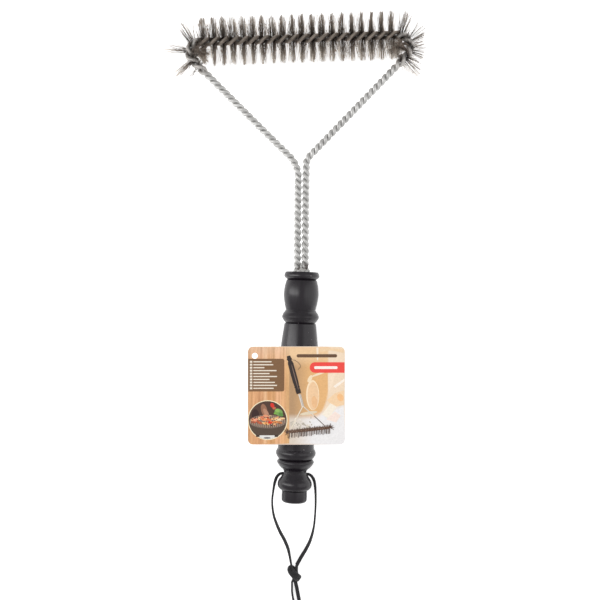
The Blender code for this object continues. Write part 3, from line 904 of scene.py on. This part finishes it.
def cut_cylinder(piece, radius, length, centre, direction):
    """Cuts a round hole, and removes its cutter."""
    bm = bmesh.new()
    bmesh.ops.create_cone(
        bm, cap_ends=True, segments=HOLE_SIDES, radius1=radius, radius2=radius, depth=length
    )
    turn = direction.to_track_quat("Z", "Y").to_matrix().to_4x4()
    bmesh.ops.transform(bm, matrix=Matrix.Translation(centre) @ turn, verts=bm.verts)
    cutter = new_object("cutter", mesh_from(bm, "cutter"))
    modifier = piece.modifiers.new("hole", "BOOLEAN")
    modifier.object = cutter
    modifier.operation = "DIFFERENCE"
    bpy.context.view_layer.update()
    evaluated = piece.evaluated_get(bpy.context.evaluated_depsgraph_get())
    cut_mesh = bpy.data.meshes.new_from_object(evaluated)
    piece.modifiers.clear()
    piece.data = cut_mesh
    bpy.data.objects.remove(cutter, do_unlink=True)


def make_handle(material):
    cos, sin = circle(HANDLE_SIDES)
    around = np.stack((cos, np.zeros(HANDLE_SIDES), -sin), axis=1)
    rings = [around * point.y + (0.0, point.x, AXIS_Z) for point in handle_outline()]
    mesh = skin_mesh("turned_handle", [rings])
    handle = add_piece(mesh.name, mesh, material, BRUSH, "handle", slot="painted_wood")
    socket_middle = place(0, HANDLE_LENGTH - SOCKET_DEPTH / 2 + 1, AXIS_Z)
    socket_length = (SOCKET_DEPTH + 2) * MM
    cut_cylinder(handle, SOCKET_RADIUS * MM, socket_length, socket_middle, Vector((0, 1, 0)))
    hole_middle = place(0, LACE_HOLE_ALONG, AXIS_Z)
    hole_length = LACE_CUTTER_LENGTH * MM
    cut_cylinder(handle, LACE_HOLE_RADIUS * MM, hole_length, hole_middle, Vector((1, 0, 0)))
    handle.data.shade_smooth()
    handle.data.set_sharp_from_angle(angle=math.radians(HANDLE_SHARP))


def lumpy(spots, centre, size):
    """A ring with its spots moved towards or away from the centre by a smooth bump pattern."""
    ring = []
    for spot in map(Vector, spots):
        shift = noise.noise(spot * LUMP_PITCH) * size
        ring.append(spot + (spot - Vector(centre)).normalized() * shift)
    return np.array(ring)


def make_resin(material):
    """The plug with a lumpy end in the handle's mouth, and the drips on the legs."""
    rows = [(HANDLE_LENGTH - SOCKET_DEPTH + 1, 1.0), (HANDLE_LENGTH - 3, 1.0)]
    rows += [(HANDLE_LENGTH - 0.6 + ahead, share) for ahead, share in RESIN_END]
    plug = []
    for along, share in rows:
        radius = RESIN_RADIUS * share
        spots = oval(0.0, AXIS_Z, radius, radius, 0.0, RESIN_SIDES)
        rough = PLUG_LUMPS if along > HANDLE_LENGTH else 0.0
        ring = [(across, along, up) for across, up in spots]
        plug.append(lumpy(ring, (0.0, along - 4.0, AXIS_Z), rough))
    skins, dirt = [plug], [0.0] * (RESIN_SIDES * len(plug))
    for centre, (wide, deep, high), dirt_and_shade in RESIN_DRIPS:
        drip = []
        for row in range(1, DRIP_ROWS):
            height = math.cos(math.pi * row / DRIP_ROWS)
            share = math.sqrt(1 - height * height)
            spots = oval(*centre[:2], wide * share, deep * share, 0.0, DRIP_SIDES)
            up = centre[2] - height * high
            drip.append(lumpy([(*spot, up) for spot in spots], centre, DRIP_LUMPS))
        skins.append(drip)
        dirt += [dirt_and_shade] * (DRIP_SIDES * len(drip))
    mesh = skin_mesh("mouth_resin", skins)
    store(mesh, "dirt", dirt)
    add_piece(mesh.name, mesh, material, BRUSH, "leg_resin", slot="resin")


# Card


def ink(red, green, blue):
    """Linear colour of a printed tint, a little stronger than plain."""
    grey = 0.3 * red + 0.59 * green + 0.11 * blue
    strong = (grey + (value - grey) * INK_STRENGTH for value in (red, green, blue))
    return tuple((min(255.0, max(8.0, value)) / 255) ** 2.2 for value in strong)


def blend(first, second, share):
    share = min(1.0, max(0.0, share))
    return tuple(a + (b - a) * share for a, b in zip(first, second))


def arc(x, y, wide, high, start, end, step):
    """Points on an upright oval's edge between two angles in degrees."""
    angles = [math.radians(angle) for angle in range(start, end, step)]
    return [(x + wide * math.cos(angle), y + high * math.sin(angle)) for angle in angles]


def strip(points, widths):
    """Outline of a line drawn along points with its width at each."""
    marks = [Vector(point) for point in points]
    last = len(marks) - 1
    left, right = [], []
    for i, (mark, width) in enumerate(zip(marks, widths)):
        ahead = (marks[min(i + 1, last)] - marks[max(i - 1, 0)]).normalized()
        side = Vector((-ahead.y, ahead.x)) * width / 2
        left.append(mark + side)
        right.append(mark - side)
    return [tuple(point) for point in left + right[::-1]]


def rounded(x0, y0, x1, y1, left, right):
    """Box with its left and right corners rounded by two radii."""
    points = []
    for x, y, radius, start in (
        (x1 - right, y1 - right, right, 0),
        (x0 + left, y1 - left, left, 90),
        (x0 + left, y0 + left, left, 180),
        (x1 - right, y0 + right, right, 270),
    ):
        points += arc(x, y, radius, radius, start, start + 91, 15)
    return points


class Print:
    """Ink on the card in thin closed plates, later ones on top, in the card's own millimetres."""

    def __init__(self):
        self.vertices, self.faces, self.inks, self.grains = [], [], [], []
        self.level = 0

    def add(self, points, up, inks, grains):
        self.vertices += [(x, y, up) for x, y in points]
        self.inks += inks
        self.grains += grains

    def plate(self, outline, tint):
        """A plate of one tint over all that is printed so far in its part of the card."""
        self.level += 1
        start, count = len(self.vertices), len(outline)
        for up in (0.0, PRINT_BASE + PRINT_STEP * self.level):
            self.add(outline, up, [ink(*tint)] * count, [0.0] * count)
        self.faces.append([start + i for i in reversed(range(count))])
        self.faces.append([start + count + i for i in range(count)])
        self.wall([(start + i, start + (i + 1) % count) for i in range(count)], count)

    def line(self, points, widths, tint):
        self.plate(strip(points, widths), tint)

    def wall(self, edges, count):
        """Upright faces between each edge and the one above it, count points further on."""
        self.faces += [(a, b, b + count, a + count) for a, b in edges]

    def sheet(self, outline, hole):
        """The sheet under the plates: a fine grid inside the outline and round the hole."""
        loops = [list(range(len(outline))), [len(outline) + i for i in range(len(hole))]]
        edges = [(loop[i - 1], loop[i]) for loop in loops for i in range(len(loop))]
        points = [Vector(point) for point in (*outline, *hole)]
        hole_at = Vector(CARD_HOLE_PLACE)
        half_x, half_y = CARD_SIZE[0] / 2, CARD_SIZE[1] / 2
        for x in np.arange(-half_x, half_x, SHEET_GRID):
            for y in np.arange(-half_y, half_y, SHEET_GRID):
                point = Vector((x, y))
                if inside_card(point) and (point - hole_at).length > CARD_HOLE_RADIUS + 0.4:
                    points.append(point)
        flat, _, triangles, _, _, _ = delaunay_2d_cdt(points, edges, [], 0, 1e-4)
        kept = []
        for triangle in triangles:
            middle = sum((flat[i] for i in triangle), Vector((0, 0))) / 3
            if (middle - hole_at).length > CARD_HOLE_RADIUS:
                kept.append(triangle)
        used = sorted({i for triangle in kept for i in triangle})
        number_of = {i: number for number, i in enumerate(used)}
        spots = [tuple(flat[i]) for i in used]
        inks = [sheet_tint(*spot) for spot in spots]
        start, count = len(self.vertices), len(used)
        for up in (0.0, PRINT_BASE):
            self.add(spots, up, inks, [float(x < SCENE_FROM) for x, _ in spots])
        sides = set()
        for triangle in kept:
            a, b, c = (start + number_of[i] for i in triangle)
            self.faces.append((a + count, b + count, c + count))
            self.faces.append((c, b, a))
            sides.update(((a, b), (b, c), (c, a)))
        self.wall(sorted((a, b) for a, b in sides if (b, a) not in sides), count)

    def mesh(self):
        turn = Matrix.Rotation(CARD_TURN, 4, "Z")
        shift = Matrix.Translation((*CARD_PLACE, CARD_TOP + PRINT_LIFT))
        points = [shift @ turn @ Vector(vertex) for vertex in self.vertices]
        mesh = bpy.data.meshes.new("card_print")
        mesh.from_pydata(place_all([tuple(point) for point in points]).tolist(), [], self.faces)
        store(mesh, "ink", [(*color, 1.0) for color in self.inks], "FLOAT_COLOR", "color")
        store(mesh, "grain", self.grains)
        return mesh


def inside_card(point):
    """Whether a place is well inside the card's edge and its round corners."""
    half_x, half_y = CARD_SIZE[0] / 2 - CARD_CORNER, CARD_SIZE[1] / 2 - CARD_CORNER
    over = Vector((max(0.0, abs(point.x) - half_x), max(0.0, abs(point.y) - half_y)))
    return over.length < CARD_CORNER - 0.6


def board_tint(x, y):
    """Wooden boards down the left of the card."""
    tint = BOARDS[-1][1]
    for right, color in reversed(BOARDS):
        if x < right:
            tint = color
    paler = 0.25 * max(0.0, (y - 25) / 17)
    return blend(ink(*tint), ink(255, 246, 235), paler)


def scene_tint(x, y):
    """Blurred garden behind the drawn brush: brown to gold, and nearly white low down."""
    tint = blend(ink(182, 150, 118), ink(228, 184, 134), (x + 3) / 16)
    tint = blend(tint, ink(236, 203, 165), (y - 24) / 10)
    edge = 26.5 - 0.014 * max(0.0, 6 - y) ** 2
    tint = blend(tint, ink(243, 222, 198), (x - edge) / 1.2)
    pale = blend(ink(222, 210, 197), ink(242, 240, 240), (x + 2) / 16)
    return blend(tint, pale, (-15.5 - y + 0.42 * max(0.0, x - 16)) / 5)


def sheet_tint(x, y):
    return board_tint(x, y) if x < SCENE_FROM else scene_tint(x, y)


def draw_scene(sheet):
    """Pale shapes, out of focus, on the right of the card."""
    for outline, tint in (
        (oval(13.9, 0.4, 5.6, 12.9, 0.02, 28), (250, 228, 198)),
        (oval(14.3, -0.2, 4.7, 11.9, 0.02, 28), (240, 205, 168)),
        (oval(15.4, -5.5, 2.4, 5.2, 0.1), (235, 192, 150)),
        ([(17.0, 41.0), (19.0, 41.0), (18.6, 30.2), (17.6, 30.2)], (248, 232, 212)),
        ([(19.6, 41.0), (40.5, 40.0), (40.5, 36.4), (30.0, 38.6), (20.4, 37.4)], (240, 212, 178)),
        ([(27.0, 18.0), (33.0, 18.6), (31.0, 9.0), (27.4, 2.0)], (248, 228, 205)),
        ([(31.5, 8.0), (41.0, 14.5), (41.0, 12.4), (33.5, 6.6)], (254, 244, 232)),
        ([(26.0, -4.0), (33.0, 2.0), (40.8, 4.5), (40.8, -8.0), (32.0, -10.0)], (245, 214, 178)),
        (oval(37.6, -1.6, 2.6, 3.4, 0.4), (244, 196, 148)),
        ([(22.0, -16.0), (29.0, -6.5), (34.5, -9.5), (27.5, -20.0)], (250, 240, 224)),
        ([(25.5, -20.5), (33.0, -13.5), (38.0, -17.0), (34.0, -23.0)], (250, 232, 222)),
        (oval(10.5, -15.0, 7.5, 1.4, 0.15), (228, 214, 190)),
        (oval(19.5, 18.6, 7.6, 0.9, 0.35), (246, 228, 200)),
        (oval(11.6, 14.4, 1.6, 3.4, -0.5), (246, 226, 196)),
    ):
        sheet.plate(outline, tint)
    chance = random.Random(77)
    for _ in range(46):
        x, y = chance.uniform(-5.0, 13.0), chance.gauss(-24.6, 2.4)
        grey = chance.randint(165, 236)
        wide, high = chance.uniform(0.5, 1.6), chance.uniform(0.3, 0.8)
        blot = oval(x, y, wide, high, chance.uniform(0, 3), 9)
        sheet.plate(blot, (grey + 8, grey, grey - 12))


def draw_panels(sheet):
    """Brown panel with plain rows, a heading bar and the red label, all without any words."""
    sheet.level = 0
    sheet.plate(rounded(-41.3, 3.5, -10.3, 31.5, 0.05, 1.8), (126, 98, 74))
    pale = (236, 226, 212)
    for row, end in enumerate(PANEL_ROWS):
        y = 28.9 - 2.52 * row
        sheet.plate(rounded(-39.8, y - 0.85, -37.7, y + 0.85, 0.2, 0.2), pale)
        sheet.plate(rounded(-36.9, y - 0.5, end, y + 0.5, 0.45, 0.45), pale)
    sheet.plate(rounded(0.2, 32.6, 34.8, 35.4, 1.35, 1.35), (104, 82, 66))
    sheet.plate(rounded(11.4, 19.5, 41.2, 28.5, 4.4, 0.05), (228, 88, 82))
    sheet.plate(rounded(15.2, 22.7, 35.2, 25.1, 1.15, 1.15), (255, 244, 238))


def draw_barbecue(sheet):
    """Round picture of a kettle barbecue with food on its grate."""
    sheet.level = 0
    x, y = PICTURE_PLACE
    sheet.plate(oval(x, y, 17.0, 17.0, 0.0, 48), (252, 238, 206))
    sheet.plate(oval(x, y, 16.3, 16.3, 0.0, 48), (84, 66, 58))
    for dx, dy, wide, high, turn, tint in SMOKE_AND_GREENS:
        sheet.plate(oval(x + dx, y + dy, wide, high, turn), tint)
    kettle = [(u, max(y - 13.2, v)) for u, v in arc(x, y, 16.2, 16.2, 196, 346, 10)]
    sheet.plate([*kettle, (x + 15.6, y - 2.0), (x - 15.6, y - 2.0)], (88, 76, 67))
    white = arc(x, y, 16.2, 16.2, 236, 306, 7)
    sheet.plate([*white, (x + 9.0, y - 13.0), (x - 9.0, y - 13.0)], (230, 228, 224))
    for dx in (-8.4, 7.4):
        sheet.plate(rounded(x + dx - 1.5, y - 14.4, x + dx + 1.5, y - 12.6, 0.4, 0.4), (70, 60, 54))
    sheet.plate(oval(x - 0.4, y - 15.2, 3.0, 0.6), (86, 80, 78))
    sheet.plate(oval(x, y - 1.0, 16.0, 5.6, 0.0, 36), (120, 100, 88))
    for number in range(-9, 10):
        dx = number * 1.65
        reach = 5.4 * math.sqrt(max(0.0, 1 - (dx / 16) ** 2))
        ends = (x + dx, y - 1.0 - reach), (x + dx * 0.96, y - 1.0 + reach)
        sheet.line(ends, (0.4, 0.3), (196, 180, 164))
    chance = random.Random(12)
    for dx, dy, wide, high, tint in FOOD:
        sheet.plate(oval(x + dx, y + dy, wide, high, chance.uniform(-0.35, 0.35), 14), tint)
    for _ in range(44):
        angle, far = chance.uniform(0, 2 * math.pi), math.sqrt(chance.random())
        dx, dy = 14.2 * far * math.cos(angle), 4.4 * far * math.sin(angle) - 0.6
        tint = chance.choice(FOOD_TINTS)
        wide, high = chance.uniform(0.4, 1.2), chance.uniform(0.2, 0.55)
        sheet.plate(oval(x + dx, y + dy, wide, high, chance.uniform(-0.8, 0.8), 8), tint)
    rim = arc(x, y - 1.0, 16.0, 5.9, 188, 353, 8)
    sheet.line(rim, [0.5] * len(rim), (120, 108, 100))


def draw_brush(sheet):
    """The brush itself, drawn small and slanting."""
    top, low = Vector((-6.8, 34.0)), Vector((2.3, 1.0))
    ahead = (low - top).normalized()
    side = Vector((-ahead.y, ahead.x))
    scale = (low - top).length / HANDLE_LENGTH
    loop = [(-4.6, 30.6), (-1.6, 30.4), (1.2, 28.6), (3.2, 26.4)]
    loop += [(3.6, 24.4), (2.2, 23.2), (1.4, 22.0)]
    sheet.line(loop, [0.35] * len(loop), (88, 78, 72))
    middle = [top + ahead * (along * scale) for along, _, _ in HANDLE_OUTLINE]
    widths = [2 * DRAWN_FATNESS * radius for _, radius, _ in HANDLE_OUTLINE]
    sheet.line(middle, widths, (60, 53, 51))
    shine = [top + ahead * along + side * 0.55 for along in (8.0, 14.0, 22.0, 30.0)]
    sheet.line(shine, (0.3, 0.75, 0.75, 0.3), (132, 112, 102))
    for start, end, width, tint in (
        ((2.1, 1.2), (5.0, -9.4), 0.95, (224, 219, 212)),
        ((3.3, 1.2), (6.1, -9.2), 0.95, (196, 190, 184)),
        ((5.5, -9.0), (-4.5, -28.2), 0.85, (236, 226, 208)),
        ((5.6, -9.0), (15.5, -17.6), 0.8, (222, 214, 202)),
        ((15.0, -17.2), (24.6, -26.2), 0.6, (112, 102, 94)),
    ):
        sheet.line((start, end), (width, width), tint)
    left, right = Vector((-7.4, -31.2)), Vector((28.6, -27.2))
    ahead = (right - left).normalized()
    down = Vector((ahead.y, -ahead.x))
    chance = random.Random(5)
    teeth = round((right - left).length / TOOTH_STEP)
    for number in range(teeth + 1):
        root = left + ahead * (TOOTH_STEP * number)
        for _ in range(3):
            start = root + ahead * chance.uniform(-0.2, 0.2)
            tip = start + down * chance.uniform(4.2, 5.8) - ahead * chance.uniform(0.1, 0.5)
            sheet.line((start, tip), (0.6, 0.34), chance.choice(BRISTLE_TINTS))
        tip = root - down * chance.uniform(1.9, 2.9) + ahead * chance.uniform(-0.3, 0.3)
        sheet.line((root, tip), (0.95, 0.3), (96, 76, 66))
    left_turns, right_turns = (1.9, 2.5, 3.0, 3.5, 4.1), (-0.5, 0.0, 0.5, 1.0, 1.4, 1.9)
    for tuft, turns in ((left, left_turns), (right, right_turns)):
        for turn in turns:
            tip = tuft + Vector((math.cos(turn), math.sin(turn))) * chance.uniform(2.0, 3.8)
            sheet.line((tuft, tip), (0.9, 0.25), (86, 68, 60))
    body = [left - down * 0.1, (left + right) / 2, right + down * 0.1]
    sheet.line(body, (2.4, 2.8, 2.4), (98, 78, 67))
    for number in range(2 * teeth):
        spot = left + ahead * (TOOTH_STEP / 2 * number + 0.4) + down * chance.uniform(-0.9, 0.9)
        sheet.plate(oval(spot.x, spot.y, 0.42, 0.22, 0.8, 8), chance.choice(CORE_TINTS))


def printed_ink():
    """Glossy four-colour print: the plates' tints, wood streaks on the boards, a fine screen."""
    shader = Shader("printed_ink", {"Specular IOR Level": 0.25})
    tint = shader.attribute("ink", "Color")
    streaks = shader.noise(1.0, 4.0, (520.0, 26.0, 1.0), 0.6, 0.4)
    wood = shader.ramp(streaks, 0.32, (0.78, 0.72, 0.66), 0.6, (1.06, 1.06, 1.06))
    boards = shader.mix(shader.attribute("grain"), (1.0, 1.0, 1.0), wood)
    dots = shader.noise(700.0, 3.0)
    screen = shader.ramp(dots, 0.3, (0.93, 0.93, 0.93), 0.7, (1.03, 1.03, 1.03))
    printed = shader.mix(1.0, tint, boards, "MULTIPLY")
    shader.color(shader.mix(1.0, printed, screen, "MULTIPLY"))
    fine = shader.noise(1600.0, 2.0)
    shader.roughness(shader.span(fine, 0.4, 0.55))
    shader.bump(fine, 0.05, 0.02)
    return shader.material


def card_board():
    """White folding board."""
    shader = Shader("card_board", {})
    fibre = shader.noise(1.0, 4.0, (900.0, 260.0, 900.0), 0.6)
    shader.color(shader.ramp(fibre, 0.3, (0.8, 0.79, 0.76), 0.7, (0.9, 0.89, 0.87)))
    shader.roughness(shader.span(fibre, 0.55, 0.75))
    shader.bump(fibre, 0.15, 0.05)
    return shader.material


def make_card_print():
    sheet = Print()
    half_x, half_y = CARD_SIZE[0] / 2 - PRINT_MARGIN, CARD_SIZE[1] / 2 - PRINT_MARGIN
    outline = rounded(-half_x, -half_y, half_x, half_y, CARD_CORNER, CARD_CORNER)
    hole_radius = CARD_HOLE_RADIUS + 0.1
    hole = oval(*CARD_HOLE_PLACE, hole_radius, hole_radius, 0.0, 32)
    sheet.sheet(outline, hole)
    draw_scene(sheet)
    draw_brush(sheet)
    draw_panels(sheet)
    draw_barbecue(sheet)
    add_piece("card_print", sheet.mesh(), printed_ink(), BRUSH, slot="printed_card")


def main():
    make_camera()
    make_lace(lace_suede())
    lay = Lay(BentPath(frame_corners()))
    make_wires(lay, frame_steel())
    bristles = bristle_steel()
    for number in range(-FANS_BEFORE, FANS_AFTER + 1):
        make_fan(lay, number, bristles)
    make_handle(painted_wood())
    make_card_print()
    make_resin(cast_resin())
    for node, material in (("card_pad", foam_tape()), ("header_card", card_board())):
        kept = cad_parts[node].data.materials
        kept.clear()
        kept.append(material)
    make_studio()


main()
